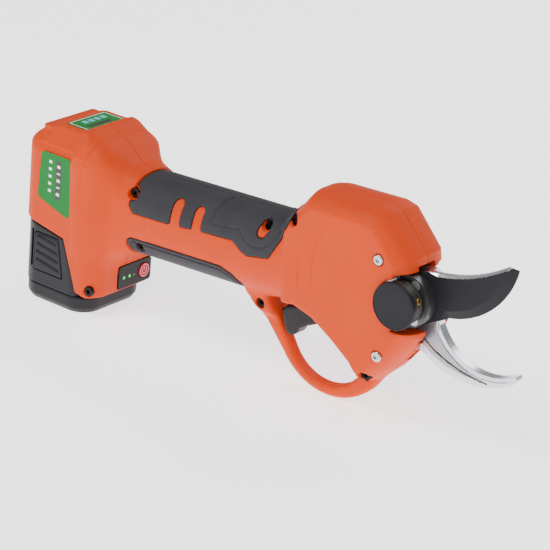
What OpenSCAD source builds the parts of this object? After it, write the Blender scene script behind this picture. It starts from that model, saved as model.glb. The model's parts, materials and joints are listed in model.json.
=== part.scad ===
// Battery electric pruner: a one-hand cutter with a bypass blade driven by a geared motor.
// Millimetres. +X points along the tool to the blades, +Z up, +Y to the tool's left.
// The origin is the middle of the battery's flat bottom, on which the tool stands.

/* [Layout] */
// Distance from the battery's middle to the blade pivot
pivot_x = 213; // [213:0.5:215]
// Height of the blade pivot above the floor
pivot_z = 69.5; // [69.5:0.5:70]
// Upward slope of the handle and of everything on its axis, in degrees
handle_tilt = 3; // [2.8:0.1:3.2]

/* [Handle] */
// Height of the handle section
handle_h = 43; // [42:0.5:44]
// Width of the handle section
handle_w = 39; // [38.5:0.5:40]
// How far the soft grip stands out of the handle
grip_proud = 0.6; // [0.3:0.1:0.9]
// Wall of the plastic housing
wall = 2.5; // [2:0.1:2.6]

/* [Battery housing] */
// Length of the battery housing along the tool
housing_l = 53.5; // [53:0.5:54]
// Width of the battery housing
housing_w = 52; // [52:0.5:53]
// Height of the housing's roof above the floor
housing_top = 95; // [94:0.5:97]
// Rounding of the housing's upright edges
housing_r = 11; // [9:0.5:12]

/* [Blades] */
// Thickness of the moving blade
blade_t = 4; // [3.5:0.1:4]
// Thickness of the fixed counter blade
jaw_t = 6; // [5:0.1:6]
// Radius of the blade hub
hub_r = 14; // [13:0.5:14]
// Swing of the blade from open to closed, in degrees
blade_swing = 51; // [40:1:51]
// Radius of the round pivot cap
cap_r = 12; // [11.5:0.1:12.5]

/* [Drive] */
// Teeth of the bevel pinion
pinion_teeth = 8; // [8:1:8]
// Teeth of the full bevel wheel that the sector is a part of
wheel_teeth = 32; // [32:8:32]
// Pitch radius of the bevel wheel at its outer edge
wheel_r = 26; // [26:0.1:26.4]
// Teeth of the sun gear
sun_teeth = 12; // [12:6:12]
// Teeth of each planet gear
planet_teeth = 18; // [18:6:18]
// Module of the planetary gears
gear_module = 0.5; // [0.5:0.01:0.5]

/* [Battery] */
// Length and width of the battery's upper part, which slides into the housing
core_w = 41.6; // [41.4:0.1:41.8]
// Height of the battery
battery_h = 75; // [75:0.5:76]
// Diameter of one cell
cell_d = 18.2; // [18:0.1:18.4]

/* [Hidden] */
$fn = 48;
hull_fn = 24;
eps = 0.01;
fit = 0.05;
orange = "#ff7a4b";
rubber = "#3c3c41";
black = "#2d2d32";
steel = "#c8cad0";
dark_steel = "#3c3c42";
brass = "#b08a50";
copper = "#b8703c";
board_green = "#2f6b45";
label_green = "#4bc869";

// ---- helpers -------------------------------------------------------------------------------

// Places a shape drawn on the handle's axis, with its origin at the blade pivot.
module on_axis() {
    translate([pivot_x, 0, pivot_z])
        rotate([0, -handle_tilt, 0])
            children();
}

// Extrudes a side view, drawn as [x, z], from y0 to y1.
module slab(y0, y1) {
    translate([0, y1, 0])
        rotate([90, 0, 0])
            linear_extrude(y1 - y0)
                children();
}

// Extrudes a section, drawn as [y, z], from x0 to x1.
module beam(x0, x1) {
    translate([x0, 0, 0])
        rotate([90, 0, 90])
            linear_extrude(x1 - x0)
                children();
}

// Extrudes a plan, drawn as [x, y], from z0 to z1.
module storey(z0, z1) {
    translate([0, 0, z0])
        linear_extrude(z1 - z0)
            children();
}

// A round rod across the tool.
module rod_y(r, y0, y1, x = 0, z = 0) {
    translate([x, y1, z])
        rotate([90, 0, 0])
            cylinder(r = r, h = y1 - y0);
}

// A round rod along the tool.
module rod_x(r, x0, x1, y = 0, z = 0) {
    translate([x0, y, z])
        rotate([0, 90, 0])
            cylinder(r = r, h = x1 - x0);
}

// A rectangle with round corners, centred on [cx, cy].
module round_rect(l, w, r, cx = 0, cy = 0) {
    translate([cx, cy]) {
        square([l - 2 * r, w], center = true);
        square([l, w - 2 * r], center = true);
        for (sx = [-1, 1], sy = [-1, 1])
            translate([sx * (l / 2 - r), sy * (w / 2 - r)])
                circle(r);
    }
}

// Points of an arc, for outlines.
function arc(cx, cy, r, a0, a1, n) =
    [for (i = [0:n]) let (a = a0 + (a1 - a0) * i / n) [cx + r * cos(a), cy + r * sin(a)]];

// A full oval between an ellipse and a rectangle, for the handle's section.
handle_power = 0.85;
function bulge(v) = sign(v) * pow(abs(v), handle_power);
function oval(w, h, n = 48) = [for (i = [0:n - 1]) let (a = 360 * i / n) [w / 2 * bulge(cos(a)), h / 2 * bulge(sin(a))]];

// ---- outlines on the handle's axis -----------------------------------------------------------

handle_rear = -188;
handle_front = -60;
grip_rear = -168;
grip_front = -75;
guard_x = -49;
guard_z = -32;
guard_r = pivot_z + guard_x * sin(handle_tilt) + guard_z * cos(handle_tilt);
loop_x = -51.5;
loop_z = -36;
loop_r = guard_r - 10;
guard_w = 8;

// The head, seen from the side, without the trigger guard.
head_outline = [[-75, -21], [-75, 21], [-58, 41], [-53, 42], [-20, 42], [-13, 40], [3, 21], [3.5, 16],
    [10.5, -13], [9, -18], [-8, -39], [-18, -48], [-25, -48]];

// The trigger guard, which hangs from the handle's underside and the head's chin.
module guard_outline() {
    polygon(concat([[-60, -15], [-106, -18], [-99, -25], [-88, -39]], arc(guard_x, guard_z, guard_r, 213, 335, 20),
        [[-8, -39], [2, -28], [-20, -25]]));
}

// The finger loop inside the guard.
module finger_loop() {
    polygon(concat([[-80, -36], [-85, -22], [-62, -17.5], [-51, -21], [-38, -29.5], [-27, -38], [-24, -43]],
        arc(loop_x, loop_z, loop_r, 332, 205, 16)));
}

// The part of the handle that the soft grip covers.
module grip_outline() {
    difference() {
        polygon([[grip_rear + 4, 30], [grip_rear, 22], [grip_rear - 1, 8], [grip_rear + 2, 4.5],
            [-146, 4.5], [-119, 6], [-101, 6.5], [-96, 3], [-91.5, 1], [-78, 3], [grip_front, 7],
            [grip_front, 30]]);
        translate([grip_rear, 14])
            circle(3.2);
        for (slot = [[-138.5, 14.5, 3.2], [-124.5, 14, 3]]) {
            translate([slot[0] - slot[2], 0])
                square([2 * slot[2], slot[1]]);
            translate([slot[0], slot[1]])
                circle(slot[2]);
        }
        translate([-84.3, 17])
            rotate(-15)
                round_rect(6, 10.5, 2.9);
    }
}

// The part of the handle that the trim strip below it covers.
module strip_outline() {
    polygon(concat(arc(-167, -14, 4.5, 90, 180, 6), [[-171.5, -30], [-100, -30], [-98.5, -17],
        [-102, -12.5], [-109, -9.5]]));
}

// Screws through both shell halves, as [x, z] on the handle's axis, with the depth of the screw's head.
shell_screw_spots = [[-64, 26, -12], [-84, 17.6, -8], [-90, -27, -5], [-19, -43.5, -12], [grip_rear, 14, -13.5],
    [-163, -14, -13.5]];
housing_screw_spot = [24.5, 15.5];
// Short steel screws that hold the right shell on the gear cover.
head_screw_spots = [[-12, 19.5], [-10, -29.5]];
boss_r = 3.2;
screw_r = 1.4;
screw_head_r = 2.6;

// ---- the housing's shape ---------------------------------------------------------------------

housing_rear = -25;
housing_front = housing_rear + housing_l;
housing_mid = (housing_rear + housing_front) / 2;
apron_z = 11;
cavity_w = core_w + 0.8;

// The orange body around the battery and its square roof pad.
module housing_outer() {
    roof_r = 5;
    hull() {
        storey(apron_z, 46)
            round_rect(housing_l, housing_w, housing_r, housing_mid, 0, $fn = hull_fn);
        for (sx = [-1, 1], sy = [-1, 1])
            translate([housing_mid + sx * (housing_l / 2 - housing_r), sy * (housing_w / 2 - housing_r), housing_top - 8])
                cylinder(r1 = housing_r, r2 = housing_r - 2, h = 4, $fn = hull_fn);
        storey(housing_top - eps, housing_top)
            round_rect(housing_l - 16, housing_w - 18, roof_r, housing_mid, 0, $fn = hull_fn);
    }
    hull() {
        storey(housing_top - 4, housing_top - 3)
            round_rect(29, 44, 4, 2, 0, $fn = hull_fn);
        storey(housing_top + 2.2, housing_top + 3)
            round_rect(22, 36, 3, 2, 0, $fn = hull_fn);
    }
}

// The funnel that leads from the housing into the handle.
module root_funnel() {
    hull() {
        translate([housing_front - 9, 0, 0])
            beam(0, 1)
                round_rect(45, 50, 10, 0, 63, $fn = hull_fn);
        on_axis()
            beam(-163, -162)
                polygon(oval(handle_w, handle_h, 32));
    }
}

// The head's solid: a flat side face with one wide bevel around it.
module head_solid() {
    hull() {
        for (layer = [[8, 0], [15, 2.2], [19.5, 6.5]])
            for (side = [-1, 1])
                slab(side * layer[0] - 0.05, side * layer[0] + 0.05)
                    offset(delta = -layer[1])
                        polygon(head_outline);
    }
}

// The guard's round bar, wider where it leaves the handle and where it joins the chin.
module guard_solid() {
    slab(-guard_w / 2, guard_w / 2)
        guard_outline();
    slab(-guard_w / 2 - 1.2, guard_w / 2 + 1.2)
        offset(delta = -1.2)
            guard_outline();
    slab(-9, 9)
        intersection() {
            guard_outline();
            translate([-110, -36])
                square([50, 40]);
        }
}

// Everything orange, as one solid block before it is hollowed and split.
module body_block() {
    housing_outer();
    root_funnel();
    on_axis() {
        beam(handle_rear + 22, handle_front)
            polygon(oval(handle_w, handle_h));
        head_solid();
        guard_solid();
    }
}

// The hollow that holds the battery, and the cut that leaves an apron down the front.
module battery_cut() {
    storey(-1, battery_h + 10.4)
        round_rect(cavity_w, cavity_w, 8);
    storey(battery_h + 10, battery_h + 15)
        round_rect(34, 32, 5);
    slab(-40, 40)
        polygon([[housing_rear - 2, -1], [housing_front + 2, -1], [housing_front + 2, apron_z + 1],
            [housing_front - 6, apron_z], [16, 13], [6, 40], [housing_rear - 2, 46]]);
}

trigger_pin_x = -45;
trigger_pin_z = -18.5;
pin_r = 1.5;
trigger_w = 10.6;

// The hollow for the motor and gears, the mouth for the blades and the trigger's slot.
module handle_hollow() {
    on_axis() {
        beam(-182, -74)
            polygon(oval(handle_w - 2 * wall, handle_h - 2 * wall));
        slab(-16.6, 16.6)
            polygon([[-76, -14.5], [-76, 17], [-57, 34], [-21, 34], [-13, 32], [-5, 22], [-2, 13.8], [-2, -13.8],
                [0, -15], [-1, -22], [-16, -40.5], [-20.5, -38], [-36, -26.5], [-50, -17.5], [-60, -14.2]]);
        slab(-13, 13)
            polygon([[-70, 16], [-55.5, 38], [-21, 38.5], [-15, 36.5], [-4, 20], [-30, 0]]);
        slab(-30, 30)
            polygon([[-3, -14.4], [-3, 13.8], [30, 16], [30, -14.4]]);
        slab(-7, 6)
            polygon([[-10, 0], [-4, 16], [12, 17.5], [30, 18], [30, -22.5], [-2, -22.5], [-10, -20]]);
        slab(-2.4, 4.6)
            polygon([[-12, -18], [30, -18], [30, -34.5], [-8, -34.5]]);
        slab(-10.5, 10.5)
            polygon([[-20, -20], [0, -13], [4, -20], [-11, -39.5], [-17, -43], [-22, -38]]);
        rod_y(11.6, -30, -10);
        rod_y(9.6, 5, 30);
        slab(-30, 30)
            finger_loop();
        slab(-trigger_w / 2 - 0.3, trigger_w / 2 + 0.3)
            polygon([[-84, -24], [-84, -17], [-60, -12], [-45, -12], [-38, -16], [-38, -31], [-60, -20]]);
    }
}

// Two short posts that carry the trigger's pin.
module pin_posts() {
    on_axis()
        for (side = [-1, 1])
            rod_y(3.1, side * 11.5 - 5.5, side * 11.5 + 5.5, trigger_pin_x, trigger_pin_z);
}

// The recess in the plastic that the grip or the trim strip is moulded into.
module inlay_tube(proud) {
    beam(handle_rear, grip_front)
        difference() {
            polygon(oval(handle_w + 2 * proud, handle_h + 2 * proud));
            polygon(oval(handle_w - 2.2, handle_h - 2.2));
        }
}

module inlays(proud) {
    on_axis()
        intersection() {
            inlay_tube(proud);
            union() {
                slab(-40, 40)
                    grip_outline();
                slab(-40, 40)
                    strip_outline();
            }
        }
}

panel_y = 7;
panel_z = 19;
panel_l = 26;
panel_h = 13;
button_y = 14;
button_r = 4;

module panel_window() {
    beam(housing_front - 8, housing_front + 2)
        round_rect(panel_l - 3, panel_h - 4, 1.5, panel_y, panel_z);
    beam(housing_front - 0.6, housing_front + 4)
        round_rect(panel_l + 0.2, panel_h + 0.2, 1.6, panel_y, panel_z);
}

module shell_bosses() {
    on_axis()
        for (spot = shell_screw_spots)
            rod_y(boss_r, spot[2] - 2, 10, spot[0], spot[1]);
}

module shell_holes() {
    on_axis()
        for (spot = shell_screw_spots) {
            rod_y(screw_r + fit, -30, 9, spot[0], spot[1]);
            rod_y(screw_head_r + 0.3, -30, spot[2], spot[0], spot[1]);
        }
    rod_y(screw_r + fit, -30, -10, housing_screw_spot[0], housing_screw_spot[1]);
    rod_y(screw_head_r + 0.4, -30, -22.5, housing_screw_spot[0], housing_screw_spot[1]);
}

module head_holes() {
    on_axis()
        for (spot = head_screw_spots) {
            rod_y(1.9, -30, -10, spot[0], spot[1]);
            rod_y(2.9, -30, -18.2, spot[0], spot[1]);
        }
}

// The whole hollow plastic body before it is split down the middle.
module body_shell() {
    difference() {
        union() {
            difference() {
                body_block();
                handle_hollow();
            }
            shell_bosses();
            pin_posts();
        }
        battery_cut();
        on_axis()
            rod_y(pin_r, -15, 15, trigger_pin_x, trigger_pin_z);
        inlays(2);
        shell_holes();
        panel_window();
    }
}

module half(side) {
    intersection() {
        children();
        translate([-60, side > 0 ? 0 : -60, -5])
            cube([340, 60, 140]);
    }
}

module shell_right() {
    color(orange)
        difference() {
            half(-1)
                body_shell();
            head_holes();
        }
}

module shell_left() {
    color(orange)
        half(1)
            body_shell();
}

module grip(side) {
    color(rubber)
        half(side)
            on_axis()
                intersection() {
                    inlay_tube(grip_proud);
                    slab(-40, 40)
                        grip_outline();
                }
}

module grip_right() {
    grip(-1);
}

module grip_left() {
    grip(1);
}

module under_strip() {
    color(rubber)
        difference() {
            on_axis()
                intersection() {
                    inlay_tube(grip_proud);
                    slab(-40, 40)
                        strip_outline();
                }
            shell_holes();
        }
}

// ---- labels, screws and the control panel ------------------------------------------------------

module side_label() {
    color(label_green)
        slab(-housing_w / 2 - 0.25, -housing_w / 2)
            polygon([[-12, 62], [-12, 82], [-9, 85], [7, 85], [10, 82], [10, 57], [7, 54]]);
}

module top_label() {
    color(label_green)
        storey(housing_top + 3, housing_top + 3.3)
            round_rect(15, 29, 1, 2, 0);
}

// A pan-head screw across the tool, from its head at y0 to its tip at y1.
module cross_screw(head_r, shank_r, y0, y1, head_h, x, z) {
    difference() {
        rod_y(head_r, y0, y0 + head_h, x, z);
        translate([x, y0 + head_h * 0.6, z])
            rotate([90, 0, 0])
                cylinder(r = head_r * 0.5, h = head_h, $fn = 6);
    }
    rod_y(shank_r, y0 + head_h, y1, x, z);
}

module shell_screws() {
    color(dark_steel) {
        on_axis()
            for (spot = shell_screw_spots)
                cross_screw(screw_head_r, screw_r, spot[2] - 2, 8.5, 2, spot[0], spot[1]);
        cross_screw(screw_head_r, screw_r, -24.5, -12, 2, housing_screw_spot[0], housing_screw_spot[1]);
    }
}

module head_screws() {
    color(steel)
        on_axis()
            for (spot = head_screw_spots)
                cross_screw(2.7, 1.8, -20, -13.5, 1.8, spot[0], spot[1]);
}

led_spots = [-1.5, 3, 6.5];

module control_panel() {
    color(black)
        difference() {
            beam(housing_front - 0.6, housing_front + 0.5)
                round_rect(panel_l, panel_h, 1.5, panel_y, panel_z);
            rod_x(button_r + 0.3, housing_front - 2, housing_front + 2, button_y, panel_z);
            for (y = led_spots)
                rod_x(0.9, housing_front - 2, housing_front + 2, y, panel_z - 0.5);
        }
}

module led_lenses() {
    color("#7dff9a")
        for (y = led_spots)
            rod_x(0.9, housing_front - 2.4, housing_front + 0.6, y, panel_z - 0.5);
}

module power_button() {
    color("#e8405a") {
        rod_x(button_r, housing_front - 1.6, housing_front + 1.2, button_y, panel_z);
        rod_x(button_r - 1.5, housing_front - 2.6, housing_front - 1.6, button_y, panel_z);
    }
}

module panel_board() {
    color(board_green)
        beam(housing_front - 4.6, housing_front - 3.4)
            round_rect(panel_l - 5.4, panel_h - 4.4, 1, panel_y, panel_z);
}

// ---- electronics in the housing and the handle -------------------------------------------------

board_z = battery_h + 8.6;

module control_board() {
    color(board_green)
        storey(board_z, board_z + 1.6)
            round_rect(38, 40, 3);
}

module board_capacitor() {
    color("#4a4a7a")
        translate([33, 10, 57])
            rotate([90, 0, 90])
                cylinder(r = 5, h = 14);
}

module power_transistors() {
    color(black)
        for (i = [-2:2])
            translate([-15, i * 7 - 2.6, board_z - 2.2])
                cube([6, 5.2, 2.2]);
}

module terminal_block() {
    color(black)
        difference() {
            translate([-6, -13, battery_h + 0.6])
                cube([14, 26, 8]);
            for (y = [-8, 0, 8])
                translate([-1.2, y - 3, battery_h])
                    cube([4.4, 6, 8]);
        }
}

module contact_pins() {
    color(brass)
        for (y = [-8, 0, 8])
            translate([-0.4, y - 2.4, battery_h + 1])
                cube([2.8, 4.8, 7]);
}

module phase_wires() {
    color("#c83232")
        on_axis()
            for (i = [-1:1])
                rod_x(1, -178, -144.1, i * 5, 2);
}

// ---- motor and planetary gearbox, all on the handle's axis ---------------------------------------

motor_rear = -142;
motor_front = -98;
motor_r = 14;
gearbox_front = -74;
ring_r = 13.8;
sun_pitch = gear_module * sun_teeth / 2;
planet_pitch = gear_module * planet_teeth / 2;
carrier_r = sun_pitch + planet_pitch;
ring_teeth = sun_teeth + 2 * planet_teeth;
gear_slack = 0.06;

pressure_angle = 25;
degree = 180 / PI;
function inv(a) = tan(a) * degree - a;

// Half the angle that a tooth takes at radius r, with slack taken off each flank.
function flank(teeth, pitch_r, r, slack) =
    let (base = pitch_r * cos(pressure_angle), at = max(r, base))
    90 / teeth - slack / pitch_r * degree + inv(pressure_angle) - inv(acos(base / at));

// Outline of a gear with involute teeth; the first tooth points at angle 0.
function spur(teeth, pitch_r, up, down, slack) =
    let (radii = [pitch_r - down, pitch_r - down / 3, pitch_r, pitch_r + up / 2, pitch_r + up])
    [for (i = [0:teeth - 1]) each concat(
        [for (r = radii) let (a = i * 360 / teeth - flank(teeth, pitch_r, r, slack)) [r * cos(a), r * sin(a)]],
        [for (k = [4:-1:0]) let (r = radii[k], a = i * 360 / teeth + flank(teeth, pitch_r, r, slack))
            [r * cos(a), r * sin(a)]])];

module motor_can() {
    color("#8a8c92")
        on_axis()
            difference() {
                rod_x(motor_r, motor_rear + 4, motor_front);
                rod_x(motor_r - 1, motor_rear + 3, motor_front - 2);
                rod_x(3.1, motor_front - 3, motor_front + 1);
            }
}

module motor_stator() {
    color(copper)
        on_axis()
            difference() {
                rod_x(motor_r - 1, motor_rear + 9, motor_front - 7);
                rod_x(8.6, motor_rear + 8, motor_front - 6);
            }
}

module motor_endcap() {
    color(black)
        on_axis()
            difference() {
                rod_x(motor_r, motor_rear, motor_rear + 4);
                rod_x(1.55, motor_rear + 1.5, motor_rear + 5);
            }
}

module motor_rotor() {
    color(steel)
        on_axis() {
            rod_x(1.5, motor_rear + 2, -84);
            rod_x(8.2, motor_rear + 10, motor_front - 8);
        }
}

module ring_gear() {
    color("#9a9ca2")
        on_axis()
            difference() {
                rod_x(ring_r, motor_front, gearbox_front);
                beam(motor_front + 2, gearbox_front - 2)
                    rotate(180 / ring_teeth)
                        polygon(spur(ring_teeth, gear_module * ring_teeth / 2, 0.6, 0.35, -gear_slack));
                rod_x(3.2, motor_front - 1, motor_front + 3);
                rod_x(4.05, gearbox_front - 4, gearbox_front + 1);
            }
}

module sun_gear() {
    color(steel)
        on_axis()
            difference() {
                beam(-94, -84)
                    polygon(spur(sun_teeth, sun_pitch, 0.38, 0.6, gear_slack));
                rod_x(1.5, -95, -83);
            }
}

// One planet, turned so that a gap faces the sun.
module planet_gear(i) {
    color("#b0b2b8")
        on_axis()
            rotate([i * 120, 0, 0])
                translate([0, carrier_r, 0])
                    difference() {
                        beam(-93, -85)
                            rotate(10)
                                polygon(spur(planet_teeth, planet_pitch, 0.38, 0.6, gear_slack));
                        rod_x(1.45, -94, -84);
                    }
}

module planet_gear_1() {
    planet_gear(0);
}

module planet_gear_2() {
    planet_gear(1);
}

module planet_gear_3() {
    planet_gear(2);
}

module planet_carrier() {
    color("#74767c")
        on_axis() {
            rod_x(10.4, -83.5, -80);
            rod_x(4, -80, pinion_rear);
            for (i = [0:2])
                rotate([i * 120, 0, 0])
                    rod_x(1.4, -93, -83.5, carrier_r, 0);
        }
}

// ---- bevel drive: both gears' teeth taper to the point where their axes cross --------------------

pinion_pitch = wheel_r * pinion_teeth / wheel_teeth;
wheel_step = 360 / wheel_teeth;
tooth_in = 17.6;
wheel_up = 1.1;
wheel_down = 2;
pinion_up = 1.5;
pinion_down = 1.9;
bevel_slack = 0.13;
pinion_rear = -33.5;
gear_back = -12;
gear_face = -blade_t - 2;
sector_over = 13;

// A tooth that is drawn as [height, half width] pairs at its outer end and shrinks to the crossing.
// It points along +Z from the axis X; lift is the height of its pitch line, foot the level of its base.
module bevel_tooth(sides, lift, foot) {
    n = 2 * len(sides) + 2;
    shrink = tooth_in / wheel_r;
    half = concat([[foot, sides[0][1], 0]], [for (s = sides) [s[0] + lift, s[1], 1]]);
    outline = concat(half, [for (k = [len(half) - 1:-1:0]) [half[k][0], -half[k][1], half[k][2]]]);
    outer = [for (p = outline) [-wheel_r, p[1], p[0]]];
    inner = [for (p = outline) [-tooth_in, p[1] * shrink, p[2] == 1 ? p[0] * shrink : foot]];
    polyhedron(points = concat(outer, inner),
        faces = concat([[for (i = [0:n - 1]) i]], [[for (i = [0:n - 1]) 2 * n - 1 - i]],
            [for (i = [0:n - 1]) [(i + 1) % n, i, i + n, (i + 1) % n + n]]));
}

module bevel_pinion() {
    root = pinion_pitch - pinion_down;
    radii = [root, pinion_pitch - 0.7, pinion_pitch, pinion_pitch + pinion_up / 2, pinion_pitch + pinion_up];
    sides = [for (r = radii) let (a = flank(pinion_teeth, pinion_pitch, r, bevel_slack)) [r * cos(a), r * sin(a)]];
    color("#8c8e94")
        on_axis() {
            for (i = [0:pinion_teeth - 1])
                rotate([(i + 0.5) * 360 / pinion_teeth + 90, 0, 0])
                    bevel_tooth(sides, 0, 1.5);
            translate([-wheel_r, 0, 0])
                rotate([0, 90, 0])
                    cylinder(r1 = root, r2 = root * tooth_in / wheel_r, h = wheel_r - tooth_in, $fn = 12);
            translate([pinion_rear, 0, 0])
                rotate([0, 90, 0])
                    cylinder(r = root, h = -wheel_r - pinion_rear, $fn = 12);
        }
}

// The part of the bevel wheel that the blade's swing needs.
module sector_gear() {
    quarter = PI * wheel_r / wheel_teeth / 2 - bevel_slack;
    lean = tan(pressure_angle);
    sides = [for (h = [-wheel_down, wheel_up]) [h, quarter - h * lean]];
    first = -floor(sector_over / wheel_step);
    last = floor((blade_swing + sector_over) / wheel_step);
    plate_face = -pinion_pitch - wheel_down - 0.2;
    color("#7c7e84")
        on_axis()
            difference() {
                union() {
                    intersection() {
                        rod_y(wheel_r + 0.8, gear_back + 0.4, plate_face);
                        slab(gear_back - 1, gear_face)
                            polygon(concat([[0, 0]], arc(0, 0, 60, 177 - sector_over,
                                183 + sector_over + blade_swing, 3)));
                    }
                    rod_y(13.5, gear_back, gear_face);
                    for (k = [first:last])
                        rotate([0, -k * wheel_step, 0])
                            rotate([-90, 0, 0])
                                bevel_tooth(sides, -pinion_pitch, plate_face - 0.3);
                }
                rod_y(bush_r + fit, gear_back - 1, gear_face + 1);
                for (a = sector_screw_angles)
                    rotate([0, a, 0]) {
                        rod_y(1.4, gear_back - 1, gear_face + 1, 10.4, 0);
                        rod_y(2.5, gear_back - 1, gear_back + 1.6, 10.4, 0);
                    }
            }
}

// ---- blades and the pivot --------------------------------------------------------------------------

bush_r = 7;
bolt_r = 5;
jaw_y = -blade_t / 2 + 0.1;
frame_y = jaw_y + jaw_t;
frame_t = 5;
nut_in = -13;
nut_out = -19.8;
sector_screw_angles = [60, 180, 300];

module sector_screws() {
    color(steel)
        on_axis()
            for (a = sector_screw_angles)
                rotate([0, a, 0]) {
                    rod_y(2.45, gear_back + 0.05, gear_back + 1.6, 10.4, 0);
                    rod_y(1.35, gear_back + 1.6, gear_face + blade_t - 0.5, 10.4, 0);
                }
}

// The cutting blade: a hollow back and a round belly that is its cutting edge.
module blade() {
    color(dark_steel)
        on_axis()
            difference() {
                union() {
                    rod_y(hub_r, gear_face, gear_face + blade_t);
                    slab(gear_face, gear_face + blade_t)
                        polygon(concat([[-3, 13.2], [8, 15.3], [14, 15.5]], arc(3.9, 102.7, 87.8, 279, 301.7, 10),
                            [[56, 27.6]], arc(14.3, 36.4, 42.8, -12.7, -82.3, 18), [[8, -11]]));
                }
                rod_y(bush_r + fit, gear_face - 1, gear_face + blade_t + 1);
                for (a = sector_screw_angles)
                    rotate([0, a, 0])
                        rod_y(1.35, gear_face - 1, gear_face + blade_t - 0.5, 10.4, 0);
                // The ground bevel along the cutting edge
                slab(gear_face - 1, gear_face + 1.2)
                    difference() {
                        translate([14.3, 36.4])
                            circle(46);
                        translate([14.3, 36.4])
                            circle(41.2);
                        translate([-40, -60])
                            square([66, 120]);
                    }
            }
}

// The fixed counter blade: a hook with a thick rim, bolted to the gear frame by its tail.
module counter_blade() {
    color(steel)
        on_axis()
            difference() {
                union() {
                    rod_y(13, jaw_y, frame_y);
                    slab(jaw_y, frame_y)
                        polygon(concat([[-4, -10], [12.6, -3]], arc(41.2, 1.2, 31.1, -154.9, -59, 18),
                            [[59, -27]], arc(31.9, 11, 48.1, -60, -128, 16),
                            [[-5, -33], [-20, -33], [-26, -24], [-23, -12.5]]));
                }
                rod_y(bolt_r + fit, jaw_y - 1, frame_y + 1);
                for (spot = jaw_screw_spots)
                    rod_y(1.9, jaw_y - 1, frame_y + 1, spot[0], spot[1]);
                // A step along the inner edge and a groove beside the rim
                slab(jaw_y - 1, jaw_y + 0.7)
                    difference() {
                        translate([41.2, 1.2])
                            circle(33.4);
                        translate([41.2, 1.2])
                            circle(30);
                        translate([0, -11])
                            square([80, 60]);
                    }
            }
}

jaw_screw_spots = [[-9, -22], [-20, -27]];

module jaw_screws() {
    color(dark_steel)
        on_axis()
            for (spot = jaw_screw_spots) {
                rod_y(1.9, jaw_y + 0.5, frame_y + frame_t, spot[0], spot[1]);
                rod_y(3.3, frame_y + frame_t, frame_y + frame_t + 2, spot[0], spot[1]);
            }
}

module pivot_bolt() {
    color(dark_steel)
        on_axis() {
            rod_y(bolt_r, nut_out + 0.5, frame_y + frame_t);
            difference() {
                rod_y(8.5, frame_y + frame_t, frame_y + frame_t + 5);
                translate([0, frame_y + frame_t + 6, 0])
                    rotate([90, 0, 0])
                        cylinder(r = 4, h = 4, $fn = 6);
            }
        }
}

module pivot_bush() {
    color(brass)
        on_axis()
            difference() {
                rod_y(bush_r, nut_in, jaw_y);
                rod_y(bolt_r, nut_in - 1, jaw_y + 1);
            }
}

module thrust_washer() {
    color(steel)
        on_axis()
            difference() {
                rod_y(9, nut_in, gear_back - 0.1);
                rod_y(bush_r, nut_in - 1, gear_back);
            }
}

lock_angle = 20;

module lock_nut() {
    color(dark_steel)
        on_axis()
            difference() {
                rod_y(11, nut_out, nut_in);
                rod_y(bolt_r, nut_out - 1, nut_in + 1);
                rotate([0, -lock_angle, 0])
                    rod_x(1.6, 8, 13, (nut_in + nut_out) / 2, 0);
            }
}

module lock_screw() {
    color(brass)
        on_axis()
            rotate([0, -lock_angle, 0])
                rod_x(1.6, 8, 11.7, (nut_in + nut_out) / 2, 0);
}

module pivot_cap() {
    color(black)
        on_axis()
            rotate([90, 0, 0])
                rotate_extrude()
                    polygon([[0, -nut_out], [cap_r, -nut_out], [cap_r, -nut_out + 2.2], [cap_r - 0.8, -nut_out + 3],
                        [0, -nut_out + 3]]);
}

// ---- frame that joins the gearbox and the pivot -----------------------------------------------------

bearing_x = -44;
bearing_l = 8;
spacer_spots = [[-36, 16.5, 0], [-36, -16, 0], [-17, -35.6, 0]];

module gear_frame() {
    color("#a4a6ac")
        on_axis()
            difference() {
                union() {
                    slab(frame_y, frame_y + frame_t)
                        difference() {
                            polygon([[-48, -11.5], [-48, 13], [-41, 20], [-14, 20], [-6, 12], [0, 12.5], [0, -12.5],
                                [-3, -14], [-3, -26], [-14, -40], [-19, -37], [-37, -20], [-38, -11.5]]);
                            translate([-34.5, -10])
                                square([20, 20]);
                        }
                    rod_y(12.5, frame_y, frame_y + frame_t);
                    translate([bearing_x - 2, -11, -11])
                        cube([bearing_l + 3, 22, 22]);
                }
                rod_x(8, bearing_x, bearing_x + bearing_l + 2);
                rod_x(5, bearing_x - 3, bearing_x + 1);
                rod_y(bolt_r + fit, frame_y - 1, frame_y + frame_t + 1);
                for (spot = jaw_screw_spots)
                    rod_y(1.95, frame_y - 1, frame_y + frame_t + 1, spot[0], spot[1]);
            }
}

module pinion_bearing() {
    color(steel)
        on_axis()
            difference() {
                rod_x(8, bearing_x, bearing_x + bearing_l);
                rod_x(4 + fit, bearing_x - 1, bearing_x + bearing_l + 1);
            }
}

cover_in = -13.4;
cover_out = -16.4;

module gear_cover() {
    color("#a4a6ac")
        on_axis()
            difference() {
                slab(cover_out, cover_in)
                    polygon([[-40.5, -12], [-40.5, 20], [-24, 26], [-9, 25], [-3, 14], [-3, -14], [-3, -22],
                        [-8.7, -31], [-14, -37.5], [-19, -35], [-34, -20]]);
                rod_y(11.3, cover_out - 1, cover_in + 1);
                for (spot = head_screw_spots)
                    rod_y(1.8, cover_out - 1, cover_in + 1, spot[0], spot[1]);
            }
}

module frame_spacers() {
    color(steel)
        on_axis()
            for (spot = spacer_spots)
                rod_y(2.4, cover_in, frame_y, spot[0], spot[1]);
}

// ---- trigger -----------------------------------------------------------------------------------------

magnet_x = -58;
magnet_z = -22.5;

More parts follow.
